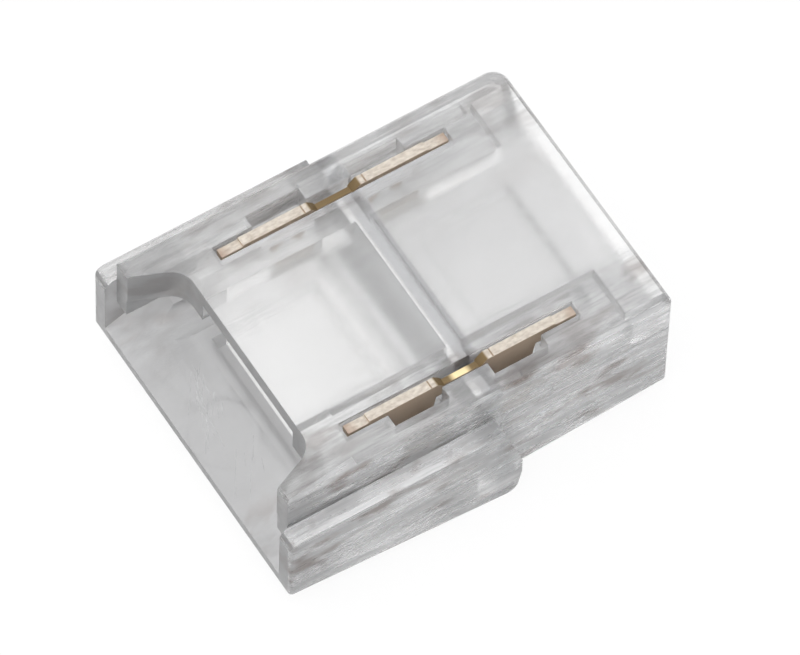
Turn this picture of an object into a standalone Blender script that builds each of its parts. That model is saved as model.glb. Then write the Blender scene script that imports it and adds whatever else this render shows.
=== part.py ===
"""Clear snap connector that joins a two-pin LED strip to a pair of wires.

Five pieces: a housing that holds two piercing contacts on edge, and two
covers that swing on the housing's trunnions and press the wires and the
strip up onto the contacts' teeth.

X runs from the wire end to the strip end, Z is up. The origin is at the
middle of the base.
"""
import math

import bmesh
import bpy
from mathutils import Matrix, Vector

MM = 0.001

# Overall sizes
LENGTH = 16.12 * MM
HEIGHT = 5.62 * MM
STRIP_WIDTH = 10.0 * MM

# Clearances
FIT = 0.13 * MM                # between a cover and the housing
CONTACT_FIT = 0.12 * MM        # round a contact in its slot
STRIP_FIT = 0.055 * MM         # strip's edge to the cover's wall
PIN_FIT = 0.08 * MM            # trunnion in its socket, on the radius
OVERCUT = 0.6 * MM             # how far a cutter runs past a face

# Housing
PLATE_DEPTH = 1.65 * MM        # top face to the rails' underside
WINDOW_WALL = 0.7 * MM         # thinner plate between the rails
RAIL_WIDTH = 1.18 * MM         # rails' inner faces to the contacts' middles
HOUSING_START = -5.8 * MM      # middle of the top face's edge at the wire end
HORN_SETBACK = 0.4 * MM        # wire end to the tips of the horns beside the mouth
HORN_ROOT = 1.5 * MM           # width of the horns at the mouth's edge
HORN_TIP = 0.72 * MM           # and at their tips
MOUTH_ROUND = 0.9 * MM
SKIRT_END = -0.3 * MM
SKIRT_WIDTH = 0.66 * MM
SKIRT_GAP = 0.66 * MM          # side skirts' lower edge to the wire cover's floor
RAIL_END = 6.5 * MM
FAR_CORNER = 0.6 * MM          # the strip end's far corner is well rounded
NEAR_CORNER = 0.18 * MM        # and its near corner almost sharp
HOUSING_CHAMFER = 0.12 * MM

# Hinge and middle web
PIVOT_X = 0.75 * MM
PIVOT_Z = 1.45 * MM
WEB = 0.6 * MM
FOOT_RADIUS = 0.75 * MM
PIN_RADIUS = 0.42 * MM
PIN_REACH = 0.4 * MM           # trunnion's length inside the wire cover's wall
FLOOR_GAP = 0.98 * MM          # covers' floors to the pivot axis

# Contacts
CONTACT_CENTRE = 0.26 * MM
CONTACT_INSET = 0.84 * MM      # middle of a contact to the strip's edge, in Y
CONTACT_LENGTH = 9.3 * MM
CONTACT_THICKNESS = 0.37 * MM
ARM_DEPTH = 0.65 * MM
ARM_TIP = 0.85 * MM            # length of the lowered end of each arm
ARM_TIP_DROP = 0.09 * MM
NECK_LENGTH = 2.0 * MM
NECK_THICKNESS = 0.24 * MM
NECK_DROP = 0.3 * MM
NECK_DEPTH = 0.58 * MM
TOOTH_START = 1.05 * MM        # from the contact's centre
TOOTH_LENGTH = 1.95 * MM
TOOTH_TAPER = 0.2 * MM
TOOTH_REACH = 2.35 * MM        # top face to the teeth's points
TOOTH_NOTCH = 0.55 * MM        # depth of the vee between the points
POCKET_WIDTH = 0.5 * MM        # open pocket outside each tooth, in Y
POCKET_DEPTH = 1.0 * MM
SCORE_INSET = 0.22 * MM        # score line across each arm, from the neck
SCORE_WIDTH = 0.07 * MM
SCORE_DEPTH = 0.06 * MM

# Strip cover
STRIP_WALL = 0.62 * MM
STRIP_FLOOR = 2.5 * MM         # height that the strip lies at
STRIP_END_RISE = 0.41 * MM     # base at the strip end
STRIP_HEEL_X = 2.1 * MM
STRIP_HEEL_RISE = 0.04 * MM
STRIP_SHOULDER_X = 1.4 * MM
STRIP_EAR_RADIUS = 0.8 * MM
LIP_START = 2.4 * MM
LIP_LENGTH = 3.6 * MM
LIP_HEIGHT = 0.34 * MM
LIP_THICKNESS = 0.25 * MM
LIP_SWING = 0.3 * MM           # room past the lip's end as the cover swings

# Wire cover
WIRE_WALL = 0.75 * MM
WIRE_LAP = 0.26 * MM           # rim above the rails' underside
WIRE_FLOOR = 2.36 * MM
WIRE_END_RISE = 0.93 * MM      # base at the wire end
RAMP_LIP = 0.42 * MM           # floor's thickness there, at the foot of its ramp
WIRE_TOE_X = 0.88 * MM         # where the base touches down
WIRE_EAR_X = 1.45 * MM
WIRE_EAR_LOW = 1.0 * MM
WIRE_EAR_HIGH = 1.8 * MM
WIRE_RIM_X = 0.65 * MM
WIRE_TOE_ROUND = 0.45 * MM
WIRE_RIM_ROUND = 0.45 * MM     # rim's end, seen from the side
WIRE_CORNER = 0.15 * MM        # corners at the wire end, seen from above
WIRE_RADIUS = 0.85 * MM
WIRE_SINK = 0.4 * MM           # depth of the wire grooves

# Hollows in the covers' floors, as wide as the windows, and an ejector pin's mark
HOLLOW_DEPTH = 0.9 * MM
HOLLOW_WALL = 0.8 * MM
EJECTOR_INSET = 1.55 * MM      # wire end to the mark's middle
EJECTOR_RADIUS = 1.4 * MM
EJECTOR_DEPTH = 0.05 * MM

# Worked out from the sizes above
WIRE_END = -LENGTH / 2
STRIP_END = LENGTH / 2
RAIL_BOTTOM = HEIGHT - PLATE_DEPTH
CHANNEL_HALF = STRIP_WIDTH / 2 + STRIP_FIT
BODY_HALF = CHANNEL_HALF + STRIP_WALL
WIRE_INNER = BODY_HALF + FIT
WIRE_OUTER = WIRE_INNER + WIRE_WALL
WEB_HALF = CHANNEL_HALF - FIT
PIN_END = WIRE_INNER + PIN_REACH
CONTACT_OFFSET = STRIP_WIDTH / 2 - CONTACT_INSET
RAIL_INNER = CONTACT_OFFSET - RAIL_WIDTH
COVER_TOP = RAIL_BOTTOM - FIT
WIRE_RIM = RAIL_BOTTOM + WIRE_LAP
HORN_END = WIRE_END + HORN_SETBACK
MOUTH_INNER_HALF = BODY_HALF - HORN_ROOT
MOUTH_OUTER_HALF = BODY_HALF - HORN_TIP
ARC_STEPS = 6


def rounded(points, radii):
    """The outline through points, with each corner turned to an arc."""
    outline = []
    count = len(points)
    for index, corner in enumerate(points):
        radius = radii[index]
        here = Vector(corner)
        if radius == 0:
            outline.append(here)
            continue
        before = (Vector(points[index - 1]) - here).normalized()
        after = (Vector(points[(index + 1) % count]) - here).normalized()
        half = before.angle(after) / 2
        centre = here + (before + after).normalized() * radius / math.sin(half)
        first = here + before * radius / math.tan(half) - centre
        last = here + after * radius / math.tan(half) - centre
        turn = first.angle_signed(last)
        for step in range(ARC_STEPS + 1):
            angle = -turn * step / ARC_STEPS
            cosine, sine = math.cos(angle), math.sin(angle)
            outline.append(centre + Vector((first.x * cosine - first.y * sine,
                                            first.x * sine + first.y * cosine)))
    return outline


def arc(centre_x, centre_y, radius, start, end, steps=2 * ARC_STEPS):
    """Points on an arc, angles in degrees, both ends included."""
    points = []
    for step in range(steps + 1):
        angle = math.radians(start + (end - start) * step / steps)
        points.append((centre_x + radius * math.cos(angle), centre_y + radius * math.sin(angle)))
    return points


def prism(name, outline, low, high, along="Z"):
    """A closed prism over a flat outline, swept from low to high.

    Along Z the outline is (x, y), along Y it is (x, z), along X it is (y, z).
    """
    place = {
        "Z": lambda a, b, c: (a, b, c),
        "Y": lambda a, b, c: (a, c, b),
        "X": lambda a, b, c: (c, a, b),
    }[along]
    mesh = bpy.data.meshes.new(name)
    bm = bmesh.new()
    base = [bm.verts.new(place(a, b, low)) for a, b in outline]
    top = [bm.verts.new(place(a, b, high)) for a, b in outline]
    bm.faces.new(base)
    bm.faces.new(top)
    for index in range(len(outline)):
        after = (index + 1) % len(outline)
        bm.faces.new((base[index], base[after], top[after], top[index]))
    bmesh.ops.recalc_face_normals(bm, faces=bm.faces)
    bm.to_mesh(mesh)
    bm.free()
    piece = bpy.data.objects.new(name, mesh)
    bpy.context.scene.collection.objects.link(piece)
    return piece


def block(name, x, y, z):
    """A box between two values on each axis."""
    outline = [(x[0], y[0]), (x[1], y[0]), (x[1], y[1]), (x[0], y[1])]
    return prism(name, outline, z[0], z[1])


def rod(name, centre, radius, low, high, along, steps=32):
    """A round bar along X or Y."""
    return prism(name, arc(centre[0], centre[1], radius, 0, 360 - 360 / steps, steps - 1), low, high, along)


def combine(piece, tool, operation):
    """Fold a tool into a piece with an exact Boolean, and remove the tool."""
    change = piece.modifiers.new("change", "BOOLEAN")
    change.operation = operation
    change.object = tool
    bpy.context.view_layer.update()
    graph = bpy.context.evaluated_depsgraph_get()
    mesh = bpy.data.meshes.new_from_object(piece.evaluated_get(graph))
    piece.modifiers.remove(change)
    old = piece.data
    piece.data = mesh
    bpy.data.meshes.remove(old)
    tool_mesh = tool.data
    bpy.data.objects.remove(tool)
    bpy.data.meshes.remove(tool_mesh)


def both_sides(low, high):
    """The same span of Y on the far side and on the near side."""
    return ((low, high), (-high, -low))


def tooth_spans(margin):
    """Where the two tooth blocks lie along X, widened by a margin."""
    near, far = TOOTH_START - margin, TOOTH_START + TOOTH_LENGTH + margin
    return ((CONTACT_CENTRE - far, CONTACT_CENTRE - near), (CONTACT_CENTRE + near, CONTACT_CENTRE + far))


def material(name, colour, roughness, metallic=0.0, transmission=0.0):
    """A Principled material from linear colour values."""
    result = bpy.data.materials.new(name)
    result.use_nodes = True
    shader = result.node_tree.nodes["Principled BSDF"]
    shader.inputs["Base Color"].default_value = (*colour, 1.0)
    shader.inputs["Roughness"].default_value = roughness
    shader.inputs["Metallic"].default_value = metallic
    shader.inputs["Transmission Weight"].default_value = transmission
    return result


def finish(piece, name, look, origin=(0, 0, 0)):
    """Clean the mesh, give it its material and set its origin."""
    bm = bmesh.new()
    bm.from_mesh(piece.data)
    bmesh.ops.remove_doubles(bm, verts=bm.verts, dist=0.000001)
    bmesh.ops.dissolve_limit(bm, angle_limit=math.radians(0.5), verts=bm.verts, edges=bm.edges)
    bmesh.ops.triangulate(bm, faces=[face for face in bm.faces if len(face.verts) > 4])
    bmesh.ops.translate(bm, verts=bm.verts, vec=-Vector(origin))
    bmesh.ops.recalc_face_normals(bm, faces=bm.faces)
    bm.to_mesh(piece.data)
    bm.free()
    piece.name = name
    piece.data.name = name
    piece.location = origin
    piece.data.materials.clear()
    piece.data.materials.append(look)
    piece.data.shade_smooth()
    piece.data.set_sharp_from_angle(angle=math.radians(28))


def chamfer_top(piece, width):
    """Break the outer edge of a slab's top face."""
    bm = bmesh.new()
    bm.from_mesh(piece.data)
    top = max(vert.co.z for vert in bm.verts)
    edges = [edge for edge in bm.edges if all(abs(vert.co.z - top) < width / 10 for vert in edge.verts)]
    bmesh.ops.bevel(bm, geom=edges, offset=width, segments=1, affect="EDGES", clamp_overlap=True)
    bm.to_mesh(piece.data)
    bm.free()


def plan_outline(start, end, half, start_round=0):
    """Plan of the body, with its two unlike corners at the strip end."""
    corners = [(start, -half), (end, -half), (end, half), (start, half)]
    return rounded(corners, [start_round, NEAR_CORNER, FAR_CORNER, start_round])


def mouth_outline():
    """Plan of the wire mouth, whose sides splay out to the horns' tips."""
    splay = (MOUTH_OUTER_HALF - MOUTH_INNER_HALF) / (HOUSING_START - HORN_END)
    open_x = HORN_END - OVERCUT
    open_half = MOUTH_OUTER_HALF + OVERCUT * splay
    corners = [(open_x, open_half), (open_x, -open_half),
               (HOUSING_START, -MOUTH_INNER_HALF), (HOUSING_START, MOUTH_INNER_HALF)]
    return rounded(corners, [0, 0, MOUTH_ROUND, MOUTH_ROUND])


def make_housing(look):
    """The upper body: slab with rails, skirts, web, foot and trunnions."""
    body = prism("housing", plan_outline(HORN_END, STRIP_END, BODY_HALF), RAIL_BOTTOM, HEIGHT)
    chamfer_top(body, HOUSING_CHAMFER)

    # Side skirts along the wires, and the mouth between the horns
    skirt_z = (WIRE_FLOOR + SKIRT_GAP, HEIGHT - PLATE_DEPTH / 2)
    for across in both_sides(BODY_HALF - SKIRT_WIDTH, BODY_HALF):
        combine(body, block("skirt", (HORN_END, SKIRT_END), across, skirt_z), "UNION")
    combine(body, prism("mouth", mouth_outline(), 0, HEIGHT + OVERCUT), "DIFFERENCE")

    # Thin windows between the rails, and the strip's lead-in past their ends
    web = (PIVOT_X - WEB / 2, PIVOT_X + WEB / 2)
    window = (RAIL_BOTTOM - OVERCUT, HEIGHT - WINDOW_WALL)
    for span in ((HOUSING_START - OVERCUT, web[0]), (web[1], RAIL_END + OVERCUT)):
        combine(body, block("window", span, (-RAIL_INNER, RAIL_INNER), window), "DIFFERENCE")
    lead_in = (RAIL_END, STRIP_END + OVERCUT)
    combine(body, block("lead_in", lead_in, (-CHANNEL_HALF, CHANNEL_HALF), window), "DIFFERENCE")

    # Middle web with a round foot, and a trunnion on each side for the covers
    web_top = HEIGHT - WINDOW_WALL / 2
    combine(body, block("web", web, (-WEB_HALF, WEB_HALF), (PIVOT_Z, web_top)), "UNION")
    pivot = (PIVOT_X, PIVOT_Z)
    combine(body, rod("foot", pivot, FOOT_RADIUS, -WEB_HALF, WEB_HALF, "Y"), "UNION")
    combine(body, rod("trunnions", pivot, PIN_RADIUS, -PIN_END, PIN_END, "Y"), "UNION")

    # Slots that the contacts are pressed into from above, with open pockets beside the teeth
    half_slot = CONTACT_THICKNESS / 2 + CONTACT_FIT
    half_length = CONTACT_LENGTH / 2 + CONTACT_FIT
    half_neck = NECK_LENGTH / 2 + CONTACT_FIT
    above = HEIGHT + OVERCUT
    for side in (-1, 1):
        middle = side * CONTACT_OFFSET
        across = (middle - half_slot, middle + half_slot)
        run = (CONTACT_CENTRE - half_length, CONTACT_CENTRE + half_length)
        combine(body, block("slot", run, across, (HEIGHT - ARM_DEPTH - CONTACT_FIT, above)), "DIFFERENCE")
        neck_floor = HEIGHT - NECK_DROP - NECK_DEPTH - CONTACT_FIT
        neck = (CONTACT_CENTRE - half_neck, CONTACT_CENTRE + half_neck)
        combine(body, block("neck", neck, across, (neck_floor, above)), "DIFFERENCE")
        for span in tooth_spans(CONTACT_FIT):
            below = RAIL_BOTTOM - OVERCUT
            combine(body, block("tooth_slot", span, across, (below, above)), "DIFFERENCE")
            outer = sorted((middle, side * (CONTACT_OFFSET + half_slot + POCKET_WIDTH)))
            depth = (HEIGHT - POCKET_DEPTH, above)
            combine(body, block("pocket", span, outer, depth), "DIFFERENCE")

    # Grooves that take the strip cover's lips
    groove_x = (LIP_START - FIT, LIP_START + LIP_LENGTH + LIP_SWING)
    groove_top = COVER_TOP + LIP_HEIGHT + FIT
    for across in both_sides(CHANNEL_HALF - FIT, CHANNEL_HALF + LIP_THICKNESS + FIT):
        combine(body, block("groove", groove_x, across, (RAIL_BOTTOM - OVERCUT, groove_top)), "DIFFERENCE")
    finish(body, "housing", look)


def make_contact(name, side, look):
    """A stamped blade: two arms with pointed teeth, joined by a thin neck."""
    half_length = CONTACT_LENGTH / 2
    tooth_end = TOOTH_START + TOOTH_LENGTH
    tooth_middle = TOOTH_START + TOOTH_LENGTH / 2
    point_high = HEIGHT - TOOTH_REACH
    arm_low = HEIGHT - ARM_DEPTH
    half_neck = NECK_LENGTH / 2
    score = half_neck + SCORE_INSET
    arm = [
        (half_neck - OVERCUT / 2, HEIGHT - NECK_DROP),
        (half_neck, HEIGHT),
        (score, HEIGHT),
        (score + SCORE_WIDTH / 2, HEIGHT - SCORE_DEPTH),
        (score + SCORE_WIDTH, HEIGHT),
        (half_length - ARM_TIP, HEIGHT),
        (half_length - ARM_TIP, HEIGHT - ARM_TIP_DROP),
        (half_length, HEIGHT - ARM_TIP_DROP),
        (half_length, arm_low),
        (tooth_end, arm_low),
        (tooth_end - TOOTH_TAPER, point_high + TOOTH_NOTCH),
        (tooth_end - 2 * TOOTH_TAPER, point_high),
        (tooth_middle, point_high + TOOTH_NOTCH),
        (TOOTH_START + 2 * TOOTH_TAPER, point_high),
        (TOOTH_START + TOOTH_TAPER, point_high + TOOTH_NOTCH),
        (TOOTH_START, arm_low),
        (half_neck - OVERCUT / 2, arm_low),
    ]
    middle = side * CONTACT_OFFSET
    half = CONTACT_THICKNESS / 2
    right = [(CONTACT_CENTRE + x, z) for x, z in arm]
    left = [(CONTACT_CENTRE - x, z) for x, z in arm]
    blade = prism(name, right, middle - half, middle + half, "Y")
    combine(blade, prism("left_arm", left, middle - half, middle + half, "Y"), "UNION")
    neck_x = (CONTACT_CENTRE - half_neck, CONTACT_CENTRE + half_neck)
    neck_y = (middle - NECK_THICKNESS / 2, middle + NECK_THICKNESS / 2)
    neck_z = (HEIGHT - NECK_DROP - NECK_DEPTH, HEIGHT - NECK_DROP)
    combine(blade, block("neck", neck_x, neck_y, neck_z), "UNION")
    finish(blade, name, look)


def make_strip_cover(look):
    """The strip side's cover: a channel on two ears round the trunnions."""
    # Side outline: base, end, rim, and a tangent to each side of the ear
    shoulder = Vector((STRIP_SHOULDER_X - PIVOT_X, COVER_TOP - PIVOT_Z))
    heel = Vector((STRIP_HEEL_X - PIVOT_X, STRIP_HEEL_RISE - PIVOT_Z))
    upper = math.atan2(shoulder.y, shoulder.x) + math.acos(STRIP_EAR_RADIUS / shoulder.length)
    lower = math.atan2(heel.y, heel.x) - math.acos(STRIP_EAR_RADIUS / heel.length)
    ear = arc(PIVOT_X, PIVOT_Z, STRIP_EAR_RADIUS, math.degrees(upper), math.degrees(lower) + 360)
    outline = [(STRIP_HEEL_X, STRIP_HEEL_RISE), (STRIP_END, STRIP_END_RISE),
               (STRIP_END, COVER_TOP), (STRIP_SHOULDER_X, COVER_TOP)] + ear
    cover = prism("strip_cover", outline, -BODY_HALF - OVERCUT, BODY_HALF + OVERCUT, "Y")
    start = PIVOT_X - 2 * STRIP_EAR_RADIUS
    plan = prism("plan", plan_outline(start, STRIP_END, BODY_HALF), -OVERCUT, HEIGHT)
    combine(cover, plan, "INTERSECT")

    # The strip's channel, open to the web, and the gap for the housing's foot
    inside = (-CHANNEL_HALF, CHANNEL_HALF)
    everywhere = (start - OVERCUT, STRIP_END + OVERCUT)
    combine(cover, block("channel", everywhere, inside, (STRIP_FLOOR, HEIGHT)), "DIFFERENCE")
    foot_gap = (start - OVERCUT, PIVOT_X + FLOOR_GAP)
    combine(cover, block("foot_gap", foot_gap, inside, (-OVERCUT, HEIGHT)), "DIFFERENCE")
    bore = PIN_RADIUS + PIN_FIT
    pivot = (PIVOT_X, PIVOT_Z)
    combine(cover, rod("bore", pivot, bore, -BODY_HALF - OVERCUT, BODY_HALF + OVERCUT, "Y"), "DIFFERENCE")

    # Hollow floor under the strip, and reliefs below the teeth
    hollow = (PIVOT_X + FLOOR_GAP + HOLLOW_WALL, RAIL_END)
    depth = (STRIP_FLOOR - HOLLOW_DEPTH, HEIGHT)
    combine(cover, block("hollow", hollow, (-RAIL_INNER, RAIL_INNER), depth), "DIFFERENCE")
    span = tooth_spans(CONTACT_FIT)[1]
    half_slot = CONTACT_THICKNESS / 2 + CONTACT_FIT
    for across in both_sides(CONTACT_OFFSET - half_slot, CONTACT_OFFSET + half_slot):
        relief = (STRIP_FLOOR - HOLLOW_DEPTH / 2, HEIGHT)
        combine(cover, block("relief", span, across, relief), "DIFFERENCE")

    # Lips that stand up into the housing's grooves
    lip_x = (LIP_START, LIP_START + LIP_LENGTH)
    for across in both_sides(CHANNEL_HALF, CHANNEL_HALF + LIP_THICKNESS):
        lip = block("lip", lip_x, across, (COVER_TOP - LIP_HEIGHT, COVER_TOP + LIP_HEIGHT))
        combine(cover, lip, "UNION")
    finish(cover, "strip_cover", look, (PIVOT_X, 0, PIVOT_Z))


def make_wire_cover(look):
    """The wire side's cover: a wedge-based tray whose walls straddle the housing."""
    # Side outline: the sloping base is tangent to the round toe
    run = WIRE_TOE_X - WIRE_END
    rise = WIRE_END_RISE - WIRE_TOE_ROUND
    slope = math.atan2(rise, run) + math.asin(WIRE_TOE_ROUND / math.hypot(run, rise))
    toe = arc(WIRE_TOE_X, WIRE_TOE_ROUND, WIRE_TOE_ROUND, -90 - math.degrees(slope), 0)
    rim_end = arc(WIRE_END + WIRE_RIM_ROUND, WIRE_RIM - WIRE_RIM_ROUND, WIRE_RIM_ROUND, 90, 180)
    outline = [(WIRE_END, WIRE_END_RISE)] + toe + [
        (WIRE_EAR_X, WIRE_EAR_LOW), (WIRE_EAR_X, WIRE_EAR_HIGH), (WIRE_RIM_X, WIRE_RIM)] + rim_end
    cover = prism("wire_cover", outline, -WIRE_OUTER - OVERCUT, WIRE_OUTER + OVERCUT, "Y")
    end = WIRE_EAR_X + OVERCUT
    corners = [(WIRE_END, -WIRE_OUTER), (end, -WIRE_OUTER), (end, WIRE_OUTER), (WIRE_END, WIRE_OUTER)]
    plan = prism("plan", rounded(corners, [WIRE_CORNER, 0, 0, WIRE_CORNER]), -OVERCUT, HEIGHT)
    combine(cover, plan, "INTERSECT")

    # Inside, open at the top and at both ends, with a ramp that leads the wires in
    inside = (-WIRE_INNER, WIRE_INNER)
    channel = (WIRE_END - OVERCUT, end)
    combine(cover, block("channel", channel, inside, (WIRE_FLOOR, HEIGHT)), "DIFFERENCE")
    ramp_foot = WIRE_END_RISE + RAMP_LIP
    ramp_slope = (WIRE_FLOOR - ramp_foot) / (HOUSING_START - WIRE_END)
    ramp = [(WIRE_END - OVERCUT, ramp_foot - OVERCUT * ramp_slope), (HOUSING_START, WIRE_FLOOR),
            (HOUSING_START, HEIGHT), (WIRE_END - OVERCUT, HEIGHT)]
    combine(cover, prism("ramp", ramp, *inside, "Y"), "DIFFERENCE")
    foot_gap = (PIVOT_X - FLOOR_GAP, end)
    combine(cover, block("foot_gap", foot_gap, inside, (-OVERCUT, HEIGHT)), "DIFFERENCE")
    socket = PIN_END + CONTACT_FIT
    pivot = (PIVOT_X, PIVOT_Z)
    combine(cover, rod("socket", pivot, PIN_RADIUS + PIN_FIT, -socket, socket, "Y"), "DIFFERENCE")

    # Grooves that the two wires lie in, and the hollow floor between them
    groove_z = WIRE_FLOOR - WIRE_SINK + WIRE_RADIUS
    groove_x = (WIRE_END - OVERCUT, PIVOT_X)
    for side in (-1, 1):
        centre = (side * CONTACT_OFFSET, groove_z)
        combine(cover, rod("groove", centre, WIRE_RADIUS, *groove_x, "X"), "DIFFERENCE")
    hollow = (HOUSING_START + HOLLOW_WALL / 2, PIVOT_X - FLOOR_GAP - HOLLOW_WALL)
    depth = (WIRE_FLOOR - HOLLOW_DEPTH, HEIGHT)
    combine(cover, block("hollow", hollow, (-RAIL_INNER, RAIL_INNER), depth), "DIFFERENCE")

    # Ejector pin's mark, a shallow round recess square to the sloping base
    mark = prism("mark", arc(0, 0, EJECTOR_RADIUS, 0, 360 - 360 / 32, 31), -OVERCUT, EJECTOR_DEPTH)
    mark_x = WIRE_END + EJECTOR_INSET
    mark_z = WIRE_END_RISE - EJECTOR_INSET * math.tan(slope)
    place = Matrix.Translation((mark_x, 0, mark_z)) @ Matrix.Rotation(slope, 4, "Y")
    mark.data.transform(place)
    combine(cover, mark, "DIFFERENCE")
    finish(cover, "wire_cover", look, (PIVOT_X, 0, PIVOT_Z))


def main():
    for item in list(bpy.data.objects):
        bpy.data.objects.remove(item)
    clear = (0.78, 0.79, 0.81)
    tin = (0.72, 0.66, 0.54)
    make_housing(material("clear_housing", clear, 0.18, transmission=0.9))
    make_strip_cover(material("clear_strip_cover", clear, 0.18, transmission=0.9))
    make_wire_cover(material("clear_wire_cover", clear, 0.18, transmission=0.9))
    make_contact("contact_near", -1, material("plated_contact_near", tin, 0.38, metallic=1.0))
    make_contact("contact_far", 1, material("plated_contact_far", tin, 0.38, metallic=1.0))


main()
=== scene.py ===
"""Looks of a clear snap connector for LED strip: hazy moulded shells round two plated contacts."""
import math

import bmesh
import bpy
from mathutils import Matrix, Vector


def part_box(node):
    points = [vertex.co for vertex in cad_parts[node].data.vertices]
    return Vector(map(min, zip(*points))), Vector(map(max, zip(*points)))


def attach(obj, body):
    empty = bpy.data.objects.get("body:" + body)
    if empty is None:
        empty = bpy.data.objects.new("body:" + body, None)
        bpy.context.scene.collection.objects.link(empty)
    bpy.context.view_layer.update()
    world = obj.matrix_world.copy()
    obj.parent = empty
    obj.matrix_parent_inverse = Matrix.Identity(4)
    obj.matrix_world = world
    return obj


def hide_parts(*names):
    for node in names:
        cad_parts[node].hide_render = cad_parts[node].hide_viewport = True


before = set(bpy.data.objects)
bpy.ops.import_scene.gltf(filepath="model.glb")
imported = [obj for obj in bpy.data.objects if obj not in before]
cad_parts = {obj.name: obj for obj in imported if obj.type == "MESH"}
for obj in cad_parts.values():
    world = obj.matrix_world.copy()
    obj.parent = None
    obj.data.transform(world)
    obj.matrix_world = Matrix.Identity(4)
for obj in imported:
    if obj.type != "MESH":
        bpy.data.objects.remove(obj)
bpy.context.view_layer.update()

MM = 0.001

# Camera, fitted to the photograph: a long lens, nearly orthographic
CAMERA_RIGHT = Vector((0.8478, -0.5299, 0.0206))
CAMERA_UP = Vector((0.4450, 0.7320, 0.5159))
CAMERA_BACK = Vector((-0.2885, -0.4282, 0.8564))
AIM = Vector((-0.348, -1.268, 4.781)) * MM
LENS = 450.0
SENSOR = 36.0
VIEW_WIDTH = 27.78 * MM

# Plastic, as sRGB hex
CLEAR = "FEFEFE"
# darker copy of the clear plastic: painted shade on the strip cover
CLEAR_SHADED = "D6D6D7"
# greyer base of the near wall: painted shade
WALL = "ECECED"
FROST = "AAAAAB"
SCRATCH = "C6C6C7"
# painted shade on the thick web
WEB_SHADE_GREY = "D6D7D9"
FLOW_GREY = "E8E9EA"
BAND_GREY = "BDBDBE"
DRAG_GREY = "A8A8A9"
# painted glimpses of the contacts through the plastic
PAINTED_GLIMPSE_BROWN = "6E564A"
POLYCARBONATE_IOR = 1.585

# Contacts, as sRGB hex
TIN = "D2CABF"
TIN_DULL = "ADA296"
BRONZE = "94745F"              # darker ends of the arms
FLANK = "C4B09B"
NECK_BROWN = "7E6A4A"
# painted highlight on the near neck
NECK_GLINT_PAINT = "FFE9B8"

# Studio: strengths are shares of white
FLOOR = "F4F4F4"
FLOOR_HALF = 0.6
FLOOR_THROUGH = 0.97           # floor as the plastic shows and mirrors it
FLOOR_UNLIT = 0.9              # the rest is lit and keeps the shadow
ROOM = 0.80
LAMPS = (                      # name, place, size, power in watts
    ("key_softbox", (-0.12, -0.10, 0.34), 0.40, 0.9),
    ("far_softbox", (-0.05, 0.36, 0.24), 0.80, 1.2),
)

# Where each finish lies, from the middle of the connector
EDGE_BREAK = 0.04 * MM
MARKS_START = 2.6 * MM         # marks grow from the windows' sides
MARKS_FULL = 3.8 * MM
FAR_SHARE = 0.70               # fewer marks on the far side, which is painted lighter than the near side
WALL_START = 4.98 * MM
SILL_END = -4.8 * MM           # the eroded patch on the ramp and floor ends under the mouth's edge
WEB_CENTRE = 0.75 * MM
WEB_HALF = 0.30 * MM
NECK_HALF = 1.0 * MM
GLINT_HALF = 0.45 * MM
ARM_HALF = 4.65 * MM           # contact, from its middle to a cut end
ARM_DARKENING = 0.5 * MM

# Order of a shell's material slots
POLISHED, FAR_WALL, SILL, NEAR_WALL = range(4)

# Mesh clean-up
MERGE = 0.001 * MM
COPLANAR = math.radians(1.0)
BROKEN_EDGE = math.radians(40)
SHARP_EDGE = math.radians(35)
UPRIGHT = 0.3                  # a normal's Z below this is a side, and above it a top

# Scratches on the sill, where wires are pushed in: on the ramp's plane, about its middle
RAMP_MIDDLE = Vector((-6.9, -0.5, 1.87)) * MM
RAMP_SLOPE = math.atan2(1.01, 2.26)
SCRATCH_COUNT = 22
SCRATCH_LENGTH = 1.9 * MM
SCRATCH_SHORTEST = 0.25        # as a share of the longest
SCRATCH_WIDTH = 0.022 * MM     # drawn about twice as wide as real ones, so that they show
SCRATCH_REACH = Vector((0.6, 2.4, 0.0)) * MM
SCRATCH_LEAN = math.radians(62)
SCRATCH_SWING = math.radians(24)


def linear(code):
    """An sRGB hex colour as linear RGBA."""
    values = [int(code[i:i + 2], 16) / 255 for i in (0, 2, 4)]
    return [v / 12.92 if v <= 0.04045 else ((v + 0.055) / 1.055) ** 2.4 for v in values] + [1.0]


def add(tree, kind, inputs=None, **settings):
    """Add a node with its settings. Each input is a value, or a socket to link from."""
    node = tree.nodes.new(kind)
    for name, value in settings.items():
        setattr(node, name, value)
    for name, value in (inputs or {}).items():
        if isinstance(value, bpy.types.NodeSocket):
            tree.links.new(value, node.inputs[name])
        else:
            node.inputs[name].default_value = value
    return node


def streaks(tree, place, width, length, low, high, seed=0.0, detail=4.0):
    """Streaks along X of a real width and length: 0 where the noise is below low, 1 above high."""
    stretch = add(tree, "ShaderNodeMapping", {
        "Vector": place, "Scale": (width / length, 1.0, 1.0), "Location": (seed, seed, seed)})
    noise = add(tree, "ShaderNodeTexNoise", {
        "Vector": stretch.outputs["Vector"], "Scale": 1.0 / width, "Detail": detail, "Roughness": 0.6})
    return add(tree, "ShaderNodeMapRange", {
        "Value": noise.outputs["Fac"], "From Min": low, "From Max": high}).outputs["Result"]


def off_centre(tree, place, axis, centre=0.0):
    """Distance from a plane across one axis."""
    split = add(tree, "ShaderNodeSeparateXYZ", {"Vector": place})
    offset = add(tree, "ShaderNodeMath", {0: split.outputs[axis], 1: centre}, operation="SUBTRACT")
    return add(tree, "ShaderNodeMath", {0: offset.outputs[0]}, operation="ABSOLUTE").outputs[0]


def blank_material(name):
    """A material with an empty tree and its output node."""
    material = bpy.data.materials.new(name)
    material.use_nodes = True
    material.node_tree.nodes.clear()
    return material, material.node_tree, material.node_tree.nodes.new("ShaderNodeOutputMaterial")


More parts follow.
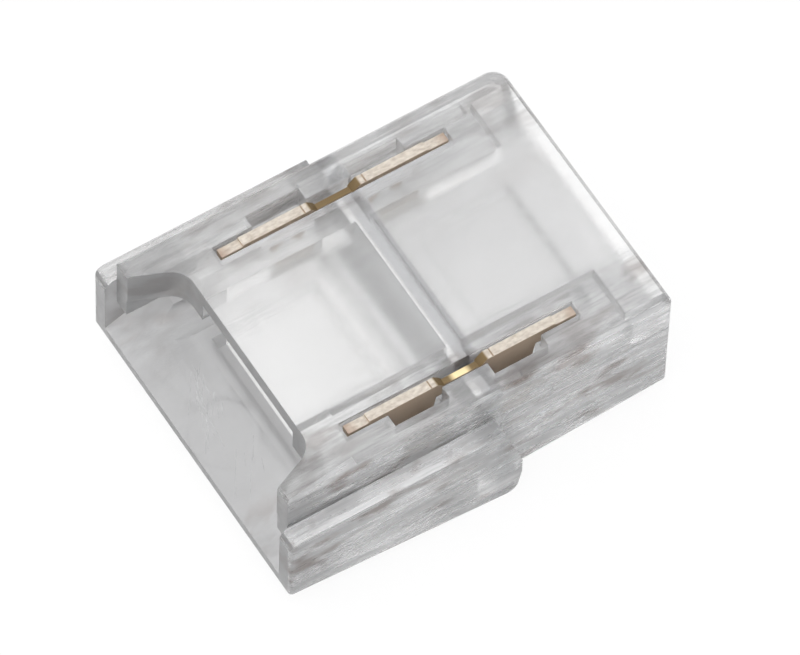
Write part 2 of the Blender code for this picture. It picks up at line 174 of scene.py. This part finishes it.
def polycarbonate(name, base, transmission, smooth, coarse, marks, relief):
    """Injection-moulded polycarbonate: clear with a haze, and marked along the draw towards its sides.

    The roughness runs from smooth to coarse with the bands, marks is how much of the streaks' colours
    shows at the sides, and relief is how deep the drag lines look.
    """
    material, tree, output = blank_material(name)
    place = add(tree, "ShaderNodeTexCoord").outputs["Object"]

    # From wide flow lines to fine drag lines, and brown patches that paint in the contacts glimmering through
    flow = streaks(tree, place, 1.1 * MM, 5.0 * MM, 0.35, 0.65)
    band = streaks(tree, place, 0.30 * MM, 2.4 * MM, 0.46, 0.66, seed=5 * MM)
    drag = streaks(tree, place, 0.08 * MM, 1.6 * MM, 0.45, 0.70, seed=3 * MM)
    painted_glimpse = streaks(tree, place, 1.0 * MM, 2.4 * MM, 0.52, 0.64, seed=7 * MM, detail=2.5)
    outer = add(tree, "ShaderNodeMapRange", {
        "Value": off_centre(tree, place, "Y"), "From Min": MARKS_START, "From Max": MARKS_FULL,
        "To Max": marks})
    # The far side is painted lighter than the near side, with fewer marks
    across = add(tree, "ShaderNodeSeparateXYZ", {"Vector": place})
    side = add(tree, "ShaderNodeMapRange", {
        "Value": across.outputs["Y"], "From Min": -MARKS_START, "From Max": MARKS_START,
        "To Min": 1.0, "To Max": FAR_SHARE})
    amount = add(tree, "ShaderNodeMath", {
        0: outer.outputs["Result"], 1: side.outputs["Result"]}, operation="MULTIPLY")

    # Painted shade: the web, thick from top to foot, is coloured greyer than the floors beside it
    web_shade = add(tree, "ShaderNodeMapRange", {
        "Value": off_centre(tree, place, "X", WEB_CENTRE), "From Min": WEB_HALF * 1.3, "From Max": WEB_HALF})
    tint = add(tree, "ShaderNodeMix", {
        "Factor": web_shade.outputs["Result"], "A": linear(base), "B": linear(WEB_SHADE_GREY)},
        data_type="RGBA").outputs["Result"]
    for share, colour in ((flow, FLOW_GREY), (band, BAND_GREY), (drag, DRAG_GREY), (painted_glimpse, PAINTED_GLIMPSE_BROWN)):
        strength = add(tree, "ShaderNodeMath", {0: share, 1: amount.outputs[0]}, operation="MULTIPLY")
        tint = add(tree, "ShaderNodeMix", {
            "Factor": strength.outputs[0], "A": tint, "B": linear(colour)}, data_type="RGBA").outputs["Result"]
    haze = add(tree, "ShaderNodeMapRange", {"Value": band, "To Min": smooth, "To Max": coarse})
    ripple = add(tree, "ShaderNodeBump", {"Height": drag, "Strength": relief, "Distance": 0.01 * MM})
    shader = add(tree, "ShaderNodeBsdfPrincipled", {
        "Base Color": tint, "Roughness": haze.outputs["Result"], "Normal": ripple.outputs["Normal"],
        "IOR": POLYCARBONATE_IOR, "Transmission Weight": transmission})
    tree.links.new(shader.outputs["BSDF"], output.inputs["Surface"])
    return material


def plated_bronze(centre_x):
    """Stamped bronze strip: matt tin on the cut top edge, brown flanks and necks.

    Only the near neck has a gold glint, painted in as a highlight. The far one is dull.
    """
    material, tree, output = blank_material("tin_plated_bronze")
    place = add(tree, "ShaderNodeTexCoord").outputs["Object"]
    grain = streaks(tree, place, 0.12 * MM, 0.25 * MM, 0.30, 0.65)
    plated = add(tree, "ShaderNodeMix", {
        "Factor": grain, "A": linear(TIN_DULL), "B": linear(TIN)}, data_type="RGBA")

    # Measured along the blade from its middle: darker arm ends, and the neck
    along = off_centre(tree, place, "X", centre_x)
    darkened = add(tree, "ShaderNodeMapRange", {
        "Value": along, "From Min": ARM_HALF - ARM_DARKENING, "From Max": ARM_HALF, "To Max": 0.6})
    tin = add(tree, "ShaderNodeMix", {
        "Factor": darkened.outputs["Result"], "A": plated.outputs["Result"], "B": linear(BRONZE)},
        data_type="RGBA")
    # Painted highlight: a gold glint about the middle of the near neck only
    glint = add(tree, "ShaderNodeMapRange", {
        "Value": along, "From Min": GLINT_HALF, "From Max": GLINT_HALF * 0.5})
    across = add(tree, "ShaderNodeSeparateXYZ", {"Vector": place})
    near = add(tree, "ShaderNodeMath", {0: across.outputs["Y"], 1: 0.0}, operation="LESS_THAN")
    near_glint = add(tree, "ShaderNodeMath", {
        0: glint.outputs["Result"], 1: near.outputs[0]}, operation="MULTIPLY")
    glinting_neck = add(tree, "ShaderNodeMix", {
        "Factor": near_glint.outputs[0], "A": linear(NECK_BROWN), "B": linear(NECK_GLINT_PAINT)}, data_type="RGBA")
    neck = add(tree, "ShaderNodeMapRange", {
        "Value": along, "From Min": NECK_HALF * 1.08, "From Max": NECK_HALF})
    edge = add(tree, "ShaderNodeMix", {
        "Factor": neck.outputs["Result"], "A": tin.outputs["Result"], "B": glinting_neck.outputs["Result"]},
        data_type="RGBA")

    # Flanks face sideways and stay brown
    shape = add(tree, "ShaderNodeNewGeometry")
    facing = add(tree, "ShaderNodeSeparateXYZ", {"Vector": shape.outputs["Normal"]})
    upward = add(tree, "ShaderNodeMapRange", {"Value": facing.outputs["Z"], "From Min": 0.3, "From Max": 0.7})
    colour = add(tree, "ShaderNodeMix", {
        "Factor": upward.outputs["Result"], "A": linear(FLANK), "B": edge.outputs["Result"]},
        data_type="RGBA")
    bump = add(tree, "ShaderNodeBump", {"Height": grain, "Strength": 0.4, "Distance": 0.02 * MM})
    shader = add(tree, "ShaderNodeBsdfPrincipled", {
        "Base Color": colour.outputs["Result"], "Normal": bump.outputs["Normal"],
        "Metallic": 0.5, "Roughness": 0.5})
    tree.links.new(shader.outputs["BSDF"], output.inputs["Surface"])
    return material


def burnished_scratch():
    """Scratched polycarbonate: the raised burr of a scratch scatters pale grey."""
    material, tree, output = blank_material("burnished_scratch")
    place = add(tree, "ShaderNodeTexCoord").outputs["Object"]
    broken = streaks(tree, place, 0.2 * MM, 0.2 * MM, 0.35, 0.65)
    tint = add(tree, "ShaderNodeMix", {
        "Factor": broken, "A": linear(FROST), "B": linear(SCRATCH)}, data_type="RGBA")
    shader = add(tree, "ShaderNodeBsdfPrincipled", {
        "Base Color": tint.outputs["Result"], "Roughness": 0.6, "IOR": POLYCARBONATE_IOR})
    tree.links.new(shader.outputs["BSDF"], output.inputs["Surface"])
    return material


def finish_slot(face, node):
    """Which finish a face of a shell gets: a side wall's, the sill's, or the polished one."""
    middle = face.calc_center_median()
    reach = [vert.co.y for vert in face.verts]
    on_wall = min(reach) > WALL_START or max(reach) < -WALL_START
    if on_wall and face.normal.y * middle.y >= 0:
        return FAR_WALL if middle.y > 0 else NEAR_WALL
    upright = abs(face.normal.z) < UPRIGHT
    faces_up = node == "wire_cover" and face.normal.z > UPRIGHT
    return SILL if middle.x < SILL_END and (upright or faces_up) else POLISHED


def refined_shell(node, finishes):
    """A moulded shell: the CAD node's form with broken edges, and a finish for each part of it."""
    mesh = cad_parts[node].data.copy()
    mesh.name = node + "_moulded"
    mesh.materials.clear()
    for finish in finishes:
        mesh.materials.append(finish)
    bm = bmesh.new()
    bm.from_mesh(mesh)
    bmesh.ops.remove_doubles(bm, verts=bm.verts, dist=MERGE)
    bmesh.ops.dissolve_limit(bm, angle_limit=COPLANAR, verts=bm.verts, edges=bm.edges)
    bmesh.ops.recalc_face_normals(bm, faces=bm.faces)
    bmesh.ops.bisect_plane(bm, geom=bm.verts[:] + bm.edges[:] + bm.faces[:], dist=MERGE,
                           plane_co=(SILL_END, 0, 0), plane_no=(1, 0, 0))
    for face in bm.faces:
        face.material_index = finish_slot(face, node)
    bm.to_mesh(mesh)
    bm.free()
    shell = bpy.data.objects.new(node + "_moulded", mesh)
    bpy.context.scene.collection.objects.link(shell)
    soft = shell.modifiers.new("edge_break", "BEVEL")
    soft.width = EDGE_BREAK
    soft.segments = 2
    soft.limit_method = "ANGLE"
    soft.angle_limit = BROKEN_EDGE
    soft.use_clamp_overlap = True
    mesh.shade_smooth()
    mesh.set_sharp_from_angle(angle=SHARP_EDGE)
    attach(shell, node)
    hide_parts(node)


def scratch_sill(material):
    """Scatter thin slivers over the ramp's plane by a node tree, then keep them as a plain mesh."""
    sizes = {"Count": SCRATCH_COUNT, "Length": SCRATCH_LENGTH, "Width": SCRATCH_WIDTH, "Seed": 5}
    tree = bpy.data.node_groups.new("scratches", "GeometryNodeTree")
    for name, value in sizes.items():
        kind = "NodeSocketInt" if isinstance(value, int) else "NodeSocketFloat"
        tree.interface.new_socket(name, in_out="INPUT", socket_type=kind)
    tree.interface.new_socket("Geometry", in_out="OUTPUT", socket_type="NodeSocketGeometry")
    given = add(tree, "NodeGroupInput").outputs
    spot = add(tree, "FunctionNodeRandomValue", {
        "Min": -SCRATCH_REACH, "Max": SCRATCH_REACH, "Seed": given["Seed"]}, data_type="FLOAT_VECTOR")
    points = add(tree, "GeometryNodePoints", {"Count": given["Count"], "Position": spot.outputs[0]})
    half = add(tree, "ShaderNodeMath", {0: given["Width"], 1: 0.5}, operation="MULTIPLY")
    sliver = add(tree, "GeometryNodeMeshCylinder", {
        "Vertices": 6, "Radius": half.outputs[0], "Depth": given["Length"]})

    # Each lies flat, leans across the ramp, and is cut to its own length
    lie = add(tree, "FunctionNodeRandomValue", {
        "Min": (0, math.pi / 2, SCRATCH_LEAN - SCRATCH_SWING),
        "Max": (0, math.pi / 2, SCRATCH_LEAN + SCRATCH_SWING), "Seed": 11}, data_type="FLOAT_VECTOR")
    share = add(tree, "FunctionNodeRandomValue", {
        "Min": (1, 1, SCRATCH_SHORTEST), "Max": (1, 1, 1), "Seed": 12}, data_type="FLOAT_VECTOR")
    placed = add(tree, "GeometryNodeInstanceOnPoints", {
        "Points": points.outputs[0], "Instance": sliver.outputs[0],
        "Rotation": lie.outputs[0], "Scale": share.outputs[0]})
    tilted = add(tree, "GeometryNodeTransform", {
        "Geometry": placed.outputs[0], "Translation": RAMP_MIDDLE, "Rotation": (0, -RAMP_SLOPE, 0)})
    real = add(tree, "GeometryNodeRealizeInstances", {"Geometry": tilted.outputs[0]})
    finished = add(tree, "GeometryNodeSetMaterial", {"Geometry": real.outputs[0], "Material": material})
    add(tree, "NodeGroupOutput", {"Geometry": finished.outputs[0]})

    scratches = bpy.data.objects.new("sill_scratches", bpy.data.meshes.new("sill_scratches"))
    bpy.context.scene.collection.objects.link(scratches)
    scatter = scratches.modifiers.new("scratches", "NODES")
    scatter.node_group = tree
    for socket in tree.interface.items_tree:
        if socket.in_out == "INPUT":
            scatter[socket.identifier] = sizes[socket.name]
    evaluated = scratches.evaluated_get(bpy.context.evaluated_depsgraph_get())
    mesh = bpy.data.meshes.new_from_object(evaluated)
    scratches.modifiers.clear()
    scratches.data = mesh
    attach(scratches, "wire_cover")


def make_stage():
    """A white sheet that keeps a soft shadow. An opened cover swings below it and shows through it."""
    mesh = bpy.data.meshes.new("floor")
    corners = [(x * FLOOR_HALF, y * FLOOR_HALF, 0) for x, y in ((-1, -1), (1, -1), (1, 1), (-1, 1))]
    mesh.from_pydata(corners, [], [(0, 1, 2, 3)])
    floor = bpy.data.objects.new("floor", mesh)
    bpy.context.scene.collection.objects.link(floor)
    material, tree, output = blank_material("white_sweep")
    lit = add(tree, "ShaderNodeBsdfDiffuse", {"Color": linear(FLOOR)})
    rays = add(tree, "ShaderNodeLightPath").outputs

    # The eye sees the white room behind the sheet, and the plastic sees the sheet's own white
    glow = add(tree, "ShaderNodeEmission", {"Color": (1, 1, 1, 1), "Strength": FLOOR_THROUGH})
    clear = add(tree, "ShaderNodeBsdfTransparent")
    white = add(tree, "ShaderNodeMixShader", {
        0: rays["Is Camera Ray"], 1: glow.outputs[0], 2: clear.outputs[0]})
    straight = add(tree, "ShaderNodeMath", {
        0: rays["Is Camera Ray"], 1: rays["Is Glossy Ray"]}, operation="MAXIMUM")
    seen = add(tree, "ShaderNodeMath", {
        0: straight.outputs[0], 1: rays["Is Transmission Ray"]}, operation="MAXIMUM")
    share = add(tree, "ShaderNodeMapRange", {"Value": seen.outputs[0], "To Max": FLOOR_UNLIT})
    mix = add(tree, "ShaderNodeMixShader", {
        0: share.outputs["Result"], 1: lit.outputs[0], 2: white.outputs[0]})
    tree.links.new(mix.outputs[0], output.inputs["Surface"])
    mesh.materials.append(material)


def make_lights():
    """A large soft lamp overhead, a larger one from the far side, and a grey room that looks white."""
    for name, place, size, power in LAMPS:
        data = bpy.data.lights.new(name, "AREA")
        data.size = size
        data.energy = power
        lamp = bpy.data.objects.new(name, data)
        lamp.location = place
        lamp.rotation_euler = (-Vector(place)).to_track_quat("-Z", "Y").to_euler()
        bpy.context.scene.collection.objects.link(lamp)
    world = bpy.data.worlds.new("studio")
    bpy.context.scene.world = world
    world.use_nodes = True
    tree = world.node_tree
    tree.nodes.clear()
    output = tree.nodes.new("ShaderNodeOutputWorld")
    rays = add(tree, "ShaderNodeLightPath")
    room = add(tree, "ShaderNodeBackground", {"Color": (1, 1, 1, 1), "Strength": ROOM})
    white = add(tree, "ShaderNodeBackground", {"Color": (1, 1, 1, 1), "Strength": 1.0})
    mix = add(tree, "ShaderNodeMixShader", {
        0: rays.outputs["Is Camera Ray"], 1: room.outputs[0], 2: white.outputs[0]})
    tree.links.new(mix.outputs[0], output.inputs["Surface"])


def make_camera():
    """The photograph's view, fitted by its three axes."""
    data = bpy.data.cameras.new("camera")
    data.lens = LENS
    data.sensor_width = SENSOR
    distance = VIEW_WIDTH * LENS / SENSOR
    data.clip_start = distance * 0.1
    data.clip_end = distance * 10
    camera = bpy.data.objects.new("camera", data)
    turn = Matrix((CAMERA_RIGHT, CAMERA_UP, CAMERA_BACK)).transposed()
    camera.matrix_world = Matrix.Translation(AIM + CAMERA_BACK.normalized() * distance) @ turn.to_4x4()
    bpy.context.scene.collection.objects.link(camera)
    bpy.context.scene.camera = camera


def main():
    make_camera()
    make_lights()
    make_stage()
    bpy.context.scene.view_settings.view_transform = "Standard"

    # Polished in the mould: clear, with a slight haze
    clear = polycarbonate("polished_polycarbonate", CLEAR,
                          transmission=0.88, smooth=0.14, coarse=0.26, marks=0.5, relief=0.2)
    # Side walls that slid along the mould: a few drag lines on the far side, and more on the near one, which
    # is also painted darker as painted shade
    marked = polycarbonate("lightly_marked_polycarbonate", CLEAR,
                           transmission=0.82, smooth=0.18, coarse=0.35, marks=0.6, relief=0.3)
    darkened = polycarbonate("drag_marked_shaded_polycarbonate", WALL,
                         transmission=0.68, smooth=0.24, coarse=0.42, marks=0.65, relief=0.2)
    # Moulded against spark-eroded steel: matt. Its greyer base colour makes the ramp and floor darker
    frosted = polycarbonate("frosted_polycarbonate", FROST,
                            transmission=0.75, smooth=0.30, coarse=0.40, marks=0.3, relief=0.2)
    # Painted shade: the strip cover lies deep under the top, so its plastic is coloured a little darker
    deep = polycarbonate("shaded_polished_polycarbonate", CLEAR_SHADED,
                         transmission=0.88, smooth=0.14, coarse=0.26, marks=0.5, relief=0.2)
    for node, polished in (("housing", clear), ("wire_cover", clear), ("strip_cover", deep)):
        refined_shell(node, (polished, marked, frosted, darkened))
    scratch_sill(burnished_scratch())

    low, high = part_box("contact_near")
    metal = plated_bronze((low[0] + high[0]) / 2)
    for node in ("contact_near", "contact_far"):
        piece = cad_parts[node]
        piece.data.materials.clear()
        piece.data.materials.append(metal)


main()
